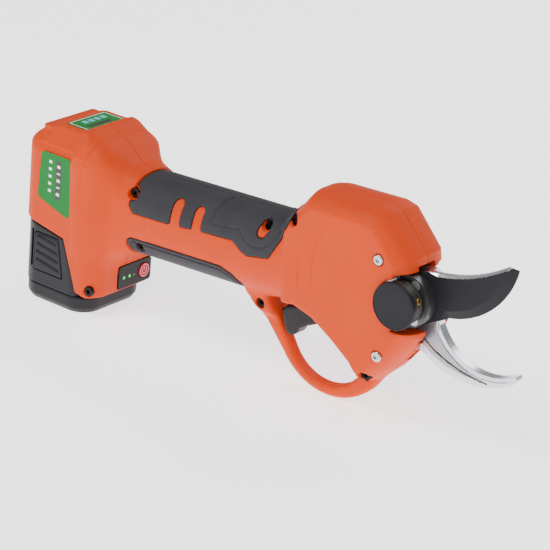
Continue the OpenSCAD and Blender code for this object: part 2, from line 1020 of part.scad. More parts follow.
module trigger() {
    color(black)
        on_axis()
            difference() {
                slab(-trigger_w / 2, trigger_w / 2)
                    union() {
                        translate([trigger_pin_x, trigger_pin_z])
                            circle(3.9);
                        polygon([[-44, -14.8], [-56, -18.2], [-70, -23.6], [-76, -25], [-79, -28], [-78, -34],
                            [-76, -39.5], [-73.5, -41], [-70.5, -39.5], [-68, -36], [-63.5, -33.2], [-56, -30],
                            [-43.5, -22.2]]);
                    }
                rod_y(pin_r + fit, -trigger_w, trigger_w, trigger_pin_x, trigger_pin_z);
                rod_y(5, -2.3, 2.3, trigger_pin_x, trigger_pin_z);
                rod_y(1.6, -2, trigger_w, magnet_x, magnet_z);
            }
}

module trigger_pin() {
    color(steel)
        on_axis()
            rod_y(pin_r, -15, 15, trigger_pin_x, trigger_pin_z);
}

module trigger_spring() {
    color(steel)
        on_axis()
            for (i = [-1:1])
                translate([trigger_pin_x, i, trigger_pin_z])
                    rotate([90, 0, 0])
                        rotate_extrude()
                            translate([2.6, 0])
                                circle(0.45, $fn = 16);
}

module trigger_magnet() {
    color("#d0d2d8")
        on_axis()
            rod_y(1.6, -2, 2, magnet_x, magnet_z);
}

module hall_sensor() {
    color(board_green)
        on_axis()
            translate([-64, -5, -10.5])
                cube([12, 10, 1.4]);
}

// ---- battery -------------------------------------------------------------------------------------------

battery_l = 45;
battery_w = 50;
base_h = 9;
cell_gap = 0.4;
cell_off = (cell_d + cell_gap) / 2;
latch_z = [17, 38];
latch_x = [-14, 6];
latch_depth = 3;

// The part below the housing, which shows, and the part inside it.
module battery_outer() {
    intersection() {
        storey(base_h, 60)
            round_rect(battery_l + 2, battery_w, 12, -1.2, 0);
        slab(-40, 40)
            polygon([[-30, base_h], [-30, 45.4], [5.6, 39.4], [15.4, 12.8], [15.4, base_h]]);
    }
    storey(base_h, battery_h)
        round_rect(core_w, core_w, 8);
}

module latch_opening(side, room) {
    slab(side > 0 ? 20.3 : -30, side > 0 ? 30 : -20.3)
        polygon([[latch_x[0] - room, latch_z[0] - room], [latch_x[0] - room, latch_z[1] + room],
            [latch_x[1] - 4 + room, latch_z[1] + room], [latch_x[1] + room, latch_z[0] - room]]);
}

module battery_shell() {
    color(black)
        difference() {
            battery_outer();
            storey(base_h - 1, battery_h - 2.2)
                round_rect(core_w - 3.6, core_w - 3.6, 5);
            for (side = [-1, 1])
                latch_opening(side, 0.3);
            for (y = [-8, 0, 8])
                translate([-1.5, y - 3, battery_h - 3])
                    cube([5, 6, 4]);
        }
}

module battery_base() {
    color(black)
        difference() {
            union() {
                storey(0, 1.4)
                    round_rect(battery_l - 1, battery_w - 4, 11, -1, 0);
                storey(1.4, base_h)
                    round_rect(battery_l + 2, battery_w - 0.4, 12.4, -1, 0);
            }
            storey(3, base_h + 1)
                round_rect(core_w - 3.6, core_w - 3.6, 5);
        }
}

module cells() {
    color("#3a6ea8")
        for (sx = [-1, 1], sy = [-1, 1])
            translate([sx * cell_off, sy * cell_off, 5])
                cylinder(r = cell_d / 2, h = 65);
}

module cell_holders() {
    color("#e8e8ea")
        for (z = [7, 64])
            difference() {
                storey(z, z + 4)
                    round_rect(37.6, 37.6, 4.5);
                for (sx = [-1, 1], sy = [-1, 1])
                    translate([sx * cell_off, sy * cell_off, z - 1])
                        cylinder(r = cell_d / 2 + fit, h = 6);
            }
}

module cell_links() {
    color("#c8c4b4")
        for (sy = [-1, 1]) {
            translate([-13, sy * cell_off - 4, 70])
                cube([26, 8, 0.3]);
            translate([sy * cell_off - 4, -13, 4.7])
                cube([8, 26, 0.3]);
        }
}

module battery_board() {
    color(board_green)
        storey(70.6, 72)
            round_rect(36, 36, 4);
}

module battery_terminals() {
    color(brass)
        for (y = [-8, 0, 8])
            translate([-0.5, y - 2.5, 72])
                cube([3, 5, battery_h - 72.2]);
}

module latch(side) {
    color("#26262a")
        difference() {
            intersection() {
                latch_opening(side, 0);
                translate([-30, side > 0 ? 22 : -battery_w / 2 - 0.3, 0])
                    cube([60, latch_depth + 0.3, 50]);
            }
            for (i = [0:3])
                translate([-30, side > 0 ? battery_w / 2 - 0.3 : -battery_w / 2 - 1.3, 20 + i * 4.6])
                    cube([60, 1.6, 1.2]);
        }
}

module latch_right() {
    latch(-1);
}

module latch_left() {
    latch(1);
}

shell_right();
shell_left();
grip_right();
grip_left();
under_strip();
side_label();
top_label();
shell_screws();
head_screws();
control_panel();
led_lenses();
power_button();
panel_board();
control_board();
board_capacitor();
power_transistors();
terminal_block();
contact_pins();
phase_wires();
motor_can();
motor_stator();
motor_endcap();
motor_rotor();
ring_gear();
sun_gear();
planet_gear_1();
planet_gear_2();
planet_gear_3();
planet_carrier();
pinion_bearing();
gear_frame();
gear_cover();
frame_spacers();
bevel_pinion();
sector_gear();
sector_screws();
blade();
counter_blade();
jaw_screws();
pivot_bolt();
pivot_bush();
thrust_washer();
lock_nut();
lock_screw();
pivot_cap();
trigger();
trigger_pin();
trigger_spring();
trigger_magnet();
hall_sensor();
battery_shell();
battery_base();
cells();
cell_holders();
cell_links();
battery_board();
battery_terminals();
latch_right();
latch_left();
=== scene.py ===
import bmesh
import bpy
import json
import math
import numpy as np
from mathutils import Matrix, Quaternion, Vector


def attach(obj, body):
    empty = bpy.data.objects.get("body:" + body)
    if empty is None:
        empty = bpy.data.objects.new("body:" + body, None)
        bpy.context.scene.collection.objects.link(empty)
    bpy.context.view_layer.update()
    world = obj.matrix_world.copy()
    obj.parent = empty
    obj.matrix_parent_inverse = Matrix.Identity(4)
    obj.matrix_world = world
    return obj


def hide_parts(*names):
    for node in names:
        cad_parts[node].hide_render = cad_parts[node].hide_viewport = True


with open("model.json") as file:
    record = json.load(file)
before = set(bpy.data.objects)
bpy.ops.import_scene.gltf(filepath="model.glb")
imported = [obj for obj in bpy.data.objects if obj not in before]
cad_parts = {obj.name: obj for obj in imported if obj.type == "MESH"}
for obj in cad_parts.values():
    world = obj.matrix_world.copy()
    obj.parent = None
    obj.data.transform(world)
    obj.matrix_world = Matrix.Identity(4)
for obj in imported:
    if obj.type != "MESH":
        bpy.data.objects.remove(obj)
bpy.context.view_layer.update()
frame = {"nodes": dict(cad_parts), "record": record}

# ---- sizes, in millimetres ----
# Most shapes are written on the handle's axis: origin at the blade's pivot, x forward along the handle.
# The housing, battery, panel and labels are written in the part's own frame.
PIVOT_X, PIVOT_Z = 213.0, 69.5
TILT = math.radians(3)
COS, SIN = math.cos(TILT), math.sin(TILT)
HANDLE_W, HANDLE_H = 39, 43
# the smaller oval that the soft pieces lie on
SEAT_W, SEAT_H = 36.9, 40.9
# the grid's pitch for the large pieces; small pieces use a fraction of it
STEP = 0.62


def to_world(x, z):
    return PIVOT_X + x * COS - z * SIN, PIVOT_Z + x * SIN + z * COS


# ---- signed-distance helpers ----
def smax(a, b, k):
    """The larger of two distances, blended over a width of k: a rounded intersection."""
    h = np.maximum(k - np.abs(a - b), 0) / k
    return np.maximum(a, b) + h * h * k / 4


def smin(a, b, k):
    return -smax(-a, -b, k)


def poly(points):
    """The signed distance to a closed outline."""
    p = [tuple(map(float, q)) for q in points]

    def f(x, z):
        x, z = np.broadcast_arrays(x, z)
        d = np.full(x.shape, 1e9)
        inside = np.zeros(x.shape, bool)
        for (ax, az), (bx, bz) in zip(p, p[1:] + p[:1]):
            ex, ez = bx - ax, bz - az
            wx, wz = x - ax, z - az
            t = np.clip((wx * ex + wz * ez) / (ex * ex + ez * ez + 1e-12), 0, 1)
            d = np.minimum(d, (wx - ex * t) ** 2 + (wz - ez * t) ** 2)
            if ez:
                inside ^= ((az > z) != (bz > z)) & (x < ex * (z - az) / ez + ax)
        return np.where(inside, -1, 1) * np.sqrt(d)

    return f


def path(points):
    """The distance to an open line."""
    p = [tuple(map(float, q)) for q in points]

    def f(x, z):
        d = 1e9
        for (ax, az), (bx, bz) in zip(p, p[1:]):
            ex, ez = bx - ax, bz - az
            t = np.clip(((x - ax) * ex + (z - az) * ez) / (ex * ex + ez * ez), 0, 1)
            d = np.minimum(d, (x - ax - ex * t) ** 2 + (z - az - ez * t) ** 2)
        return np.sqrt(d)

    return f


def arc(cx, cz, r, a0, a1, n):
    t = np.radians(np.linspace(a0, a1, n + 1))
    return [(cx + r * math.cos(a), cz + r * math.sin(a)) for a in t]


def rrect(u, v, cu, cv, hu, hv, r):
    """A rectangle with round corners: centre, half sizes, corner radius."""
    a, b = np.abs(u - cu) - (hu - r), np.abs(v - cv) - (hv - r)
    return np.hypot(np.maximum(a, 0), np.maximum(b, 0)) + np.minimum(np.maximum(a, b), 0) - r


def oval(y, z, w, h, n=2.35):
    q = ((np.abs(y) * 2 / w) ** n + (np.abs(z) * 2 / h) ** n) ** (1 / n)
    return (q - 1) * w / 2


def span(v, lo, hi):
    return np.abs(v - (lo + hi) / 2) - (hi - lo) / 2


def ease(v, lo, hi):
    t = np.clip((v - lo) / (hi - lo), 0, 1)
    return t * t * (3 - 2 * t)


def cut(a, b, k=0.3):
    return smax(a, -b, k)


# ---- a mesh from a signed distance: surface nets, then a step onto the exact surface ----
def surface(f, lo, hi, h):
    """Vertices and quads of f = 0 in the box lo..hi, on a grid of pitch h."""
    n = [int(math.ceil((b - a) / h)) + 1 for a, b in zip(lo, hi)]
    ax = [lo[i] + h * np.arange(n[i]) for i in range(3)]
    X, Y, Z = ax[0][:, None, None], ax[1][None, :, None], ax[2][None, None, :]
    F = np.array(np.broadcast_to(f(X, Y, Z), n), dtype=np.float32)
    # the grid's outer layer counts as outside, so that every mesh closes
    for side in (0, -1):
        F[side] = np.maximum(F[side], 1e-3)
        F[:, side] = np.maximum(F[:, side], 1e-3)
        F[:, :, side] = np.maximum(F[:, :, side], 1e-3)
    ins = F < 0
    m = [k - 1 for k in n]
    cell = np.zeros(m + [3], np.float32)
    count = np.zeros(m, np.float32)
    quads = []
    for a in range(3):
        lo_s, hi_s = [slice(None)] * 3, [slice(None)] * 3
        lo_s[a], hi_s[a] = slice(0, -1), slice(1, None)
        A, B = F[tuple(lo_s)], F[tuple(hi_s)]
        idx = np.argwhere(ins[tuple(lo_s)] != ins[tuple(hi_s)])
        if not len(idx):
            continue
        va, vb = A[tuple(idx.T)], B[tuple(idx.T)]
        pos = idx.astype(np.float32)
        pos[:, a] += va / (va - vb)
        b, c = (a + 1) % 3, (a + 2) % 3
        cells = []
        for db, dc in ((-1, -1), (0, -1), (0, 0), (-1, 0)):
            q = idx.copy()
            q[:, b] += db
            q[:, c] += dc
            cells.append(q)
            ok = ((q >= 0) & (q < m)).all(1)
            np.add.at(cell, tuple(q[ok].T), pos[ok])
            np.add.at(count, tuple(q[ok].T), 1)
        ok = np.ones(len(idx), bool)
        for q in cells:
            ok &= ((q >= 0) & (q < m)).all(1)
        flip = va < 0
        ids = np.stack([np.ravel_multi_index(tuple(np.where(ok[:, None], q, 0).T), m) for q in cells], 1)
        ids[~flip] = ids[~flip][:, ::-1]
        quads.append(ids[ok])
    quads = np.concatenate(quads)
    used = np.unique(quads)
    P = (cell.reshape(-1, 3)[used] / count.reshape(-1)[used, None]) * h + np.array(lo)
    quads = np.searchsorted(used, quads)
    P = P.astype(np.float64)
    for _ in range(2):
        v = f(*P.T)
        e = 0.02
        slopes = [f(*(P + step).T) - v for step in ([e, 0, 0], [0, e, 0], [0, 0, e])]
        g = np.stack(slopes, 1) / e
        s = v / np.maximum((g * g).sum(1), 0.2)
        P -= np.clip(s, -0.35 * h, 0.35 * h)[:, None] * g
    return P, quads


def place(P, axis_frame):
    if axis_frame:
        wx, wz = to_world(P[:, 0], P[:, 2])
        P = np.stack([wx, P[:, 1], wz], 1)
    return P / 1000


def add(name, P, faces, mat, body, nodes=(), smooth=38, axis_frame=True):
    me = bpy.data.meshes.new(name)
    me.from_pydata(place(np.asarray(P, float), axis_frame).tolist(), [], [list(map(int, q)) for q in faces])
    me.validate()
    me.update()
    me.polygons.foreach_set("use_smooth", [True] * len(me.polygons))
    o = bpy.data.objects.new(name, me)
    bpy.context.collection.objects.link(o)
    me.materials.append(mat)
    if smooth:
        me.set_sharp_from_angle(angle=math.radians(smooth))
    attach(o, body)
    if nodes:
        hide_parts(*nodes)
    return o


def grow(name, f, lo, hi, h, mat, body, nodes=(), smooth=38, axis_frame=True):
    P, q = surface(f, lo, hi, h)
    return add(name, P, q, mat, body, nodes, smooth, axis_frame)


# ---- materials ----
def rgb(r, g, b):
    return tuple(((c / 255) / 12.92 if c / 255 <= 0.04045 else ((c / 255 + 0.055) / 1.055) ** 2.4)
        for c in (r, g, b)) + (1,)


def material(name, colour, rough, metal=0.0, grain=2500, depth=0.00003, tone=0.06, spread=0.08, blotch=60,
             coat=0.0, specular=0.5, stretch=(1, 1, 1), glow=0.0, pits=0.0, wear=None):
    m = bpy.data.materials.new(name)
    m.use_nodes = True
    nt = m.node_tree
    bsdf = nt.nodes["Principled BSDF"]
    N, L = nt.nodes.new, nt.links.new
    co = N("ShaderNodeTexCoord")
    mp = N("ShaderNodeMapping")
    mp.inputs["Scale"].default_value = stretch
    L(co.outputs["Object"], mp.inputs["Vector"])
    big = N("ShaderNodeTexNoise")
    big.inputs["Scale"].default_value = blotch
    big.inputs["Detail"].default_value = 5
    L(co.outputs["Object"], big.inputs["Vector"])
    fine = N("ShaderNodeTexNoise")
    fine.inputs["Scale"].default_value = grain
    fine.inputs["Detail"].default_value = 3
    fine.inputs["Roughness"].default_value = 0.6
    L(mp.outputs["Vector"], fine.inputs["Vector"])
    ramp = N("ShaderNodeValToRGB")
    ramp.color_ramp.elements[0].position = 0.3
    ramp.color_ramp.elements[1].position = 0.7
    ramp.color_ramp.elements[0].color = tuple(c * (1 - tone) for c in colour[:3]) + (1,)
    ramp.color_ramp.elements[1].color = tuple(min(1, c * (1 + tone)) for c in colour[:3]) + (1,)
    L(big.outputs["Fac"], ramp.inputs["Fac"])
    out = ramp.outputs["Color"]
    if wear:
        geo = N("ShaderNodeNewGeometry")
        edge = N("ShaderNodeMapRange")
        edge.inputs["From Min"].default_value = wear[1]
        edge.inputs["From Max"].default_value = wear[1] + 0.05
        L(geo.outputs["Pointiness"], edge.inputs["Value"])
        scr = N("ShaderNodeMath")
        scr.operation = "MULTIPLY"
        L(edge.outputs["Result"], scr.inputs[0])
        L(fine.outputs["Fac"], scr.inputs[1])
        mix = N("ShaderNodeMix")
        mix.data_type = "RGBA"
        L(scr.outputs["Value"], mix.inputs["Factor"])
        L(out, mix.inputs["A"])
        mix.inputs["B"].default_value = wear[0]
        out = mix.outputs["Result"]
    L(out, bsdf.inputs["Base Color"])
    rr = N("ShaderNodeMapRange")
    rr.inputs["To Min"].default_value = max(0.02, rough - spread)
    rr.inputs["To Max"].default_value = min(1, rough + spread)
    L(fine.outputs["Fac"], rr.inputs["Value"])
    L(rr.outputs["Result"], bsdf.inputs["Roughness"])
    bump = N("ShaderNodeBump")
    bump.inputs["Strength"].default_value = 0.5
    bump.inputs["Distance"].default_value = depth
    L(fine.outputs["Fac"], bump.inputs["Height"])
    last = bump
    if pits:
        vor = N("ShaderNodeTexVoronoi")
        vor.inputs["Scale"].default_value = grain * 0.45
        L(mp.outputs["Vector"], vor.inputs["Vector"])
        b2 = N("ShaderNodeBump")
        b2.inputs["Strength"].default_value = 0.5
        b2.inputs["Distance"].default_value = pits
        L(vor.outputs["Distance"], b2.inputs["Height"])
        L(bump.outputs["Normal"], b2.inputs["Normal"])
        last = b2
    L(last.outputs["Normal"], bsdf.inputs["Normal"])
    bsdf.inputs["Metallic"].default_value = metal
    bsdf.inputs["Coat Weight"].default_value = coat
    bsdf.inputs["Specular IOR Level"].default_value = specular
    if glow:
        L(out, bsdf.inputs["Emission Color"])
        bsdf.inputs["Emission Strength"].default_value = glow
    return m


ORANGE = material("orange_plastic", (0.62, 0.046, 0.002, 1), 0.55, grain=3200, depth=0.00004,
                  tone=0.03, pits=0.00003, specular=0.16)
RUBBER = material("grip_rubber", rgb(54, 54, 58), 0.62, grain=2600, depth=0.00006, tone=0.1, pits=0.00006,
                  specular=0.14)
BLACK = material("black_plastic", rgb(34, 34, 38), 0.45, grain=2200, depth=0.00004, tone=0.1, pits=0.00003,
                 specular=0.18)
PANEL = material("panel_black", rgb(18, 15, 16), 0.35, grain=1500, depth=0.00001, tone=0.1, specular=0.2)
CAP = material("cap_black", rgb(28, 28, 33), 0.5, grain=3000, depth=0.00005, tone=0.08, pits=0.00004,
               specular=0.16)
GREEN = material("label_green", (0.003, 0.17, 0.025, 1), 0.38, grain=1800, depth=0.000008, tone=0.05,
                 specular=0.15)
# The red key emits its own colour faintly (glow 0.15): painted light, as the key is no lamp.
RED = material("button_red", rgb(150, 24, 38), 0.4, grain=1600, depth=0.00001, glow=0.15, specular=0.2)
LED = material("led_green", rgb(40, 210, 90), 0.3, grain=1600, depth=0.00001, glow=0.9)
DIM = material("led_dim", rgb(60, 74, 62), 0.3, grain=1600, depth=0.00001)
BLADE = material("blade_black", rgb(27, 27, 31), 0.5, grain=1700, depth=0.00004, tone=0.12, pits=0.00002,
                 specular=0.16)
JAW = material("jaw_steel", rgb(158, 160, 168), 0.42, metal=0.85, grain=2400, depth=0.00008, tone=0.05,
               pits=0.00006)
POLISHED = material("polished_steel", rgb(205, 207, 214), 0.26, metal=1.0, grain=900, depth=0.00001,
                    tone=0.03, stretch=(1, 0.15, 1))
DARK = material("dark_steel", rgb(46, 43, 41), 0.5, metal=0.35, grain=1500, depth=0.00005, tone=0.25,
                wear=(rgb(170, 150, 128), 0.53))
BRIGHT = material("bright_steel", rgb(190, 192, 198), 0.26, metal=1.0, grain=1800, depth=0.00002, tone=0.05,
                  stretch=(1, 0.2, 1))
ZINC = material("motor_zinc", rgb(150, 152, 158), 0.4, metal=0.9, grain=1200, depth=0.00003, tone=0.1)
COPPER = material("copper", rgb(184, 104, 58), 0.35, metal=1.0, grain=900, depth=0.0001,
                  stretch=(3, 0.4, 0.4))
BRASS = material("brass", rgb(186, 140, 84), 0.32, metal=1.0, grain=1400, depth=0.00003, tone=0.12)
BOARD = material("board_green", rgb(38, 98, 62), 0.4, grain=1300, depth=0.00002, tone=0.15, coat=0.3)
BLUE = material("capacitor_blue", rgb(60, 60, 112), 0.35, grain=1300, depth=0.00001)
WIRE = material("wire_red", rgb(190, 44, 40), 0.5, grain=1400, depth=0.00002)
WRAP = material("cell_wrap", rgb(52, 104, 160), 0.34, grain=800, depth=0.00002, tone=0.08, coat=0.2)
WHITE = material("holder_white", rgb(228, 228, 230), 0.5, grain=1500, depth=0.00002, tone=0.04)
NICKEL = material("nickel", rgb(196, 190, 176), 0.28, metal=1.0, grain=1400, depth=0.00002)
MARK_WHITE = material("print_white", rgb(238, 242, 238), 0.4, grain=1800, depth=0.000005, tone=0.03)
MARK_BLACK = material("print_black", rgb(36, 40, 38), 0.4, grain=1800, depth=0.000005, tone=0.08)
SLOT_MATERIALS = {m.name: m for m in bpy.data.materials}

# ---- outlines on the handle's axis ----
HEAD = poly([(-75, -21), (-75, 21), (-58, 41), (-53, 42), (-20, 42), (-13, 40), (3, 21), (3.5, 16), (10.5, -13),
             (9, -18), (-8, -39), (-18, -48), (-25, -48)])
GX, GZ = -49, -32
GR = PIVOT_Z + GX * SIN + GZ * COS
GUARD = poly([(-60, -15), (-106, -18), (-99, -25), (-88, -39)] + arc(GX, GZ, GR, 213, 335, 24)
             + [(-8, -39), (2, -28), (-20, -25)])
LOOP = poly([(-80, -36), (-85, -22), (-62, -17.5), (-51, -21), (-38, -29.5), (-27, -38), (-24, -43)]
            + arc(-51.5, -36, GR - 10, 332, 205, 20))
GRIP = poly([(-164, 30), (-168, 22), (-169, 8), (-166, 4.5), (-146, 4.5), (-119, 6), (-101, 6.5), (-96, 3),
             (-91.5, 1), (-78, 3), (-75, 8), (-70, 18), (-67.3, 24), (-66, 30), (-68, 36), (-76, 30)])
STRIP = poly(arc(-167, -14, 4.5, 90, 180, 6) + [(-171.5, -30), (-100, -30), (-98.5, -17), (-102, -12.5),
             (-109, -9.5)])
PANEL_LINE = path([(-101, 31), (-108, 29), (-113, 24), (-115.5, 18), (-116, 12), (-112, 11.4), (-98, 12.6),
                   (-93, 8.4), (-88, 6.6), (-82, 7), (-77, 11.5), (-73.5, 17)])
CREASE = path([(-39.8, 36.3), (-44.5, 28), (-48, 20), (-49.8, 14.7), (-50.8, 5), (-50.4, -6.2)])
# screws of the shell: x, z and how deep the recess goes
SHELL_SPOTS = [(-64, 26, -12), (-84, 17.6, -8), (-90, -27, -5), (-19, -43.5, -12), (-168, 14, -13.5),
               (-163, -14, -13.5)]
HEAD_SPOTS = [(-12, 19.5), (-10, -29.5)]
MOUTH = poly([(-3, -14.4), (-3, 13.8), (30, 16), (30, -14.4)])
SLIT = poly([(-10, 0), (-4, 16), (12, 17.5), (30, 18), (30, -22.5), (-2, -22.5), (-10, -20)])
JAW_SLIT = poly([(-12, -18), (30, -18), (30, -34.5), (-8, -34.5)])
LOW_SLIT = poly([(-20, -20), (0, -13), (4, -20), (-11, -39.5), (-17, -43), (-22, -38)])
HOLLOW = poly([(-76, -14.5), (-76, 17), (-57, 34), (-21, 34), (-13, 32), (-5, 22), (-2, 13.8), (-2, -13.8),
               (0, -15), (-1, -22), (-16, -40.5), (-20.5, -38), (-36, -26.5), (-50, -17.5), (-60, -14.2)])
UPPER = poly([(-70, 16), (-55.5, 38), (-21, 38.5), (-15, 36.5), (-4, 20), (-30, 0)])
TRIGGER_SLOT = poly([(-84, -24), (-84, -17), (-60, -12), (-45, -12), (-38, -16), (-38, -31), (-60, -20)])
APRON = poly([(-27, -60), (30.5, -60), (30.5, 12), (22.5, 11), (16, 13), (6, 40), (-27, 46)])


def grip_plan(x, z):
    d = GRIP(x, z)
    d = cut(d, np.hypot(x + 168, z - 14) - 3.4, 0.6)
    for sx, top, r in ((-138.5, 14.5, 3.2), (-124.5, 14, 3)):
        slot = np.minimum(np.hypot(x - sx, z - top) - r, np.maximum(np.abs(x - sx) - r, z - top))
        d = cut(d, slot, 1.2)
    u, v = (x + 84.3) * 0.966 - (z - 15.6) * 0.259, (x + 84.3) * 0.259 + (z - 15.6) * 0.966
    return cut(d, rrect(u, v, 0, 0, 3, 4.3, 2.9), 0.5)


def housing(x, y, z):
    q = rrect(x, y, 1.75, 0, 26.75, 26, 11)
    d = smax(q, z - 95, 2.5)
    d = smax(d, ((np.abs(y) - 17) + (z - 95)) * 0.7071, 3.5)
    d = smax(d, (-17.5 - x) * 0.707 + (z - 95) * 0.707, 4)
    d = smax(d, (x - 21) * 0.707 + (z - 95) * 0.707, 4)
    slope = (z - 98) * 0.5
    pad = smax((np.abs(y) - 18.2) * 0.87 + slope, (np.abs(x - 2) - 11.2) * 0.87 + slope, 3)
    pad = smax(pad, z - 98, 1.4)
    pad = np.maximum(pad, 89 - z)
    d = smin(d, pad, 2.4)
    rear = smax(smax(span(x, -17.4, -9.2), span(y, -19, 19), 1.5), z - 96.1, 1.0)
    d = smin(d, np.maximum(rear, 90 - z), 1.5)
    return d


def funnel(x, y, z):
    t = np.clip((x + 197) / 36, 0, 1)
    w = 19.5 + 3.8 * (1 - t) ** 2.0
    h = 21.5 + 7.6 * (1 - t) ** 1.2
    n = 2.35 + 3.2 * (1 - t) ** 1.5
    q = ((np.abs(y) / w) ** n + (np.abs(z - 6.2 * (1 - t) ** 2) / h) ** n) ** (1 / n)
    return np.maximum((q - 1) * 19, span(x, -197, -158))


def head(x, y, z):
    a = np.abs(y)
    d2 = HEAD(x, z)
    d = smax(d2, (d2 + (a - 8) * 0.314) * 0.954, 1.5)
    d = smax(d, (d2 + 2.2 + (a - 15) * 0.956) * 0.723, 1.4)
    return smax(d, a - 19.5, 1.6)


def block(x, y, z):
    wx, wz = to_world(x, z)
    d = housing(wx, y, wz)
    tube = np.maximum(oval(y, z, HANDLE_W, HANDLE_H), span(x, -190, -60))
    d = smin(d, funnel(x, y, z), 9)
    d = smin(d, tube, 1.2)
    g = GUARD(x, z)
    a = np.abs(y)
    bar = smax(g, a - 4.1, 3.2)
    root = smax(smax(smax(g, a - 9, 5), span(x, -112, -60), 6), -33 - z, 6)
    d = smin(d, smin(bar, root, 4), 5)
    d = smin(d, head(x, y, z), 2.2)
    d = cut(d, LOOP(x, z), 3)
    return d


def body(x, y, z):
    wx, wz = to_world(x, z)
    a = np.abs(y)
    block_d = block(x, y, z)
    d = block_d
    # the crease between the box and the neck, and the long crease on the head
    side = np.abs(wx - 17.3 - 3.2 * ease(wz, 84, 94))
    d = d + 0.3 * (1 - ease(side, 0.1, 0.8)) * ease(wz, 58, 68)
    d = d + np.where(a > 12, 0.3 * (1 - ease(CREASE(x, z), 0.1, 0.7)), 0.0)
    # recesses for the soft grip and the strip
    skin = -oval(y, z, 36.8, 40.8)
    under_grip = np.where(x > -76, np.maximum(-1.15 - block_d, skin), skin)
    under_grip = np.maximum(np.maximum(under_grip, grip_plan(x, z) - 0.2), span(x, -175, -60))
    d = cut(d, under_grip, 0.3)
    d = cut(d, np.maximum(np.maximum(skin, STRIP(x, z) - 0.3), span(x, -190, -95)), 0.3)
    # openings
    d = cut(d, MOUTH(x, z), 0.8)
    d = cut(d, np.maximum(SLIT(x, z), span(y, -7, 6)), 0.3)
    d = cut(d, np.maximum(JAW_SLIT(x, z), span(y, -2.4, 4.6)), 0.3)
    d = cut(d, np.maximum(LOW_SLIT(x, z), a - 10.5), 0.3)
    d = cut(d, np.maximum(np.hypot(x, z) - 12.4, y + 10), 0.5)
    d = cut(d, np.maximum(np.hypot(x, z) - 9.6, 5 - y), 0.5)
    d = cut(d, np.maximum(TRIGGER_SLOT(x, z), a - 5.6), 0.4)
    d = cut(d, np.maximum(APRON(wx, wz), a - 40), 1.0)
    # hollows
    d = cut(d, np.maximum(rrect(wx, y, 0, 0, 21.2, 21.2, 8), span(wz, -5, 85.4)), 0.3)
    d = cut(d, np.maximum(rrect(wx, y, 0, 0, 17, 16, 5), span(wz, 80, 90)), 0.3)
    d = cut(d, np.maximum(oval(y, z, 34, 38), span(x, -182, -74)), 0.3)
    inner = np.minimum(np.maximum(HOLLOW(x, z), a - 16.6), np.maximum(UPPER(x, z), a - 13))
    inner = np.maximum(inner, (HEAD(x, z) + 4.4 + (a - 15) * 0.956) * 0.723)
    posts = np.maximum(np.hypot(x + 45, z + 18.5) - 3.1, span(a, 6, 17))
    for sx, sz, sy in SHELL_SPOTS:
        posts = np.minimum(posts, np.maximum(np.hypot(x - sx, z - sz) - 3.2, span(y, sy - 2, 10)))
    d = cut(d, inner, 0.4)
    d = np.minimum(d, posts)
    # screw holes and the panel's seat
    for sx, sz, sy in SHELL_SPOTS:
        r = np.hypot(x - sx, z - sz)
        d = cut(d, np.maximum(r - 2.9, y - sy), 0.3)
        d = cut(d, np.maximum(r - 1.5, y - 9), 0.1)
    for sx, sz in HEAD_SPOTS:
        r = np.hypot(x - sx, z - sz)
        d = cut(d, np.maximum(r - 3.1, y + 18.2), 0.3)
        d = cut(d, np.maximum(r - 1.95, y + 10), 0.1)
    r = np.hypot(wx - 24.5, wz - 15.5)
    d = cut(d, np.maximum(r - 3.0, y + 22.5), 0.4)
    seat = np.maximum(rrect(y, wz, 7, 19, 13.15, 6.65, 1.6), span(wx, 27.9, 34))
    window = np.maximum(rrect(y, wz, 7, 19, 11.5, 4.5, 1.5), span(wx, 20, 34))
    d = cut(d, np.minimum(seat, window), 0.2)
    return d


def right_half(x, y, z):
    return smax(body(x, y, z), y, 0.35)


def left_half(x, y, z):
    return smax(body(x, y, z), -y, 0.35)


grow("shell_right_body", right_half, (-245, -28, -72), (16, 1.5, 46), STEP, ORANGE, "root", ["shell_right"],
     40)
grow("shell_left_body", left_half, (-245, -1.5, -72), (16, 28, 46), STEP, ORANGE, "root", ["shell_left"],
     40)


# ---- soft grip and trim strip ----
def grip_side(sign):
    def f(x, y, z):
        line = PANEL_LINE(x, z)
        skin = block(x, y, z)
        outer = np.where(x > -76, skin, oval(y, z, HANDLE_W, HANDLE_H)) - 0.62
        outer = outer + np.where(np.abs(y) > 3, 0.45 * (1 - ease(line, 0.15, 0.75)), 0)
        d = smax(outer, np.where(x > -76, -1.05 - skin, -oval(y, z, SEAT_W, SEAT_H)), 0.2)
        d = smax(d, grip_plan(x, z), 0.9)
        return smax(d, -y * sign, 0.5)
    return f


for side, sign in (("right", -1), ("left", 1)):
    y0, y1 = (-22, 1) if sign < 0 else (-1, 22)
    grow("grip_%s_pad" % side, grip_side(sign), (-171, y0, 0), (-60, y1, 38), STEP * 0.8, RUBBER, "root",
         ["grip_" + side], 40)


def strip(x, y, z):
    edge = STRIP(x, z)
    outer = oval(y, z, 40.2, 44.2) + 0.5 * (1 - ease(np.abs(edge + 1.9), 0.2, 0.7))
    d = smax(outer, -oval(y, z, SEAT_W, SEAT_H), 0.2)
    d = smax(d, edge, 0.9)
    for sx, sz, sy in SHELL_SPOTS:
        d = cut(d, np.maximum(np.hypot(x - sx, z - sz) - 2.7, y), 0.4)
    return d


grow("under_strip_trim", strip, (-173, -22, -24), (-97, 22, -8), STEP * 0.8, RUBBER, "root", ["under_strip"],
     40)


# ---- battery ----
def ring_cells(x, y, z):
    return rrect(x, y, 0, 0, 20.8, 20.8, 8)


LATCH = poly([(-14, 17), (-14, 38), (2, 38), (6, 17)])
CHEEK = poly([(-30, 9), (-30, 45.2), (5.4, 39.2), (15.2, 12.8), (15.2, 9)])


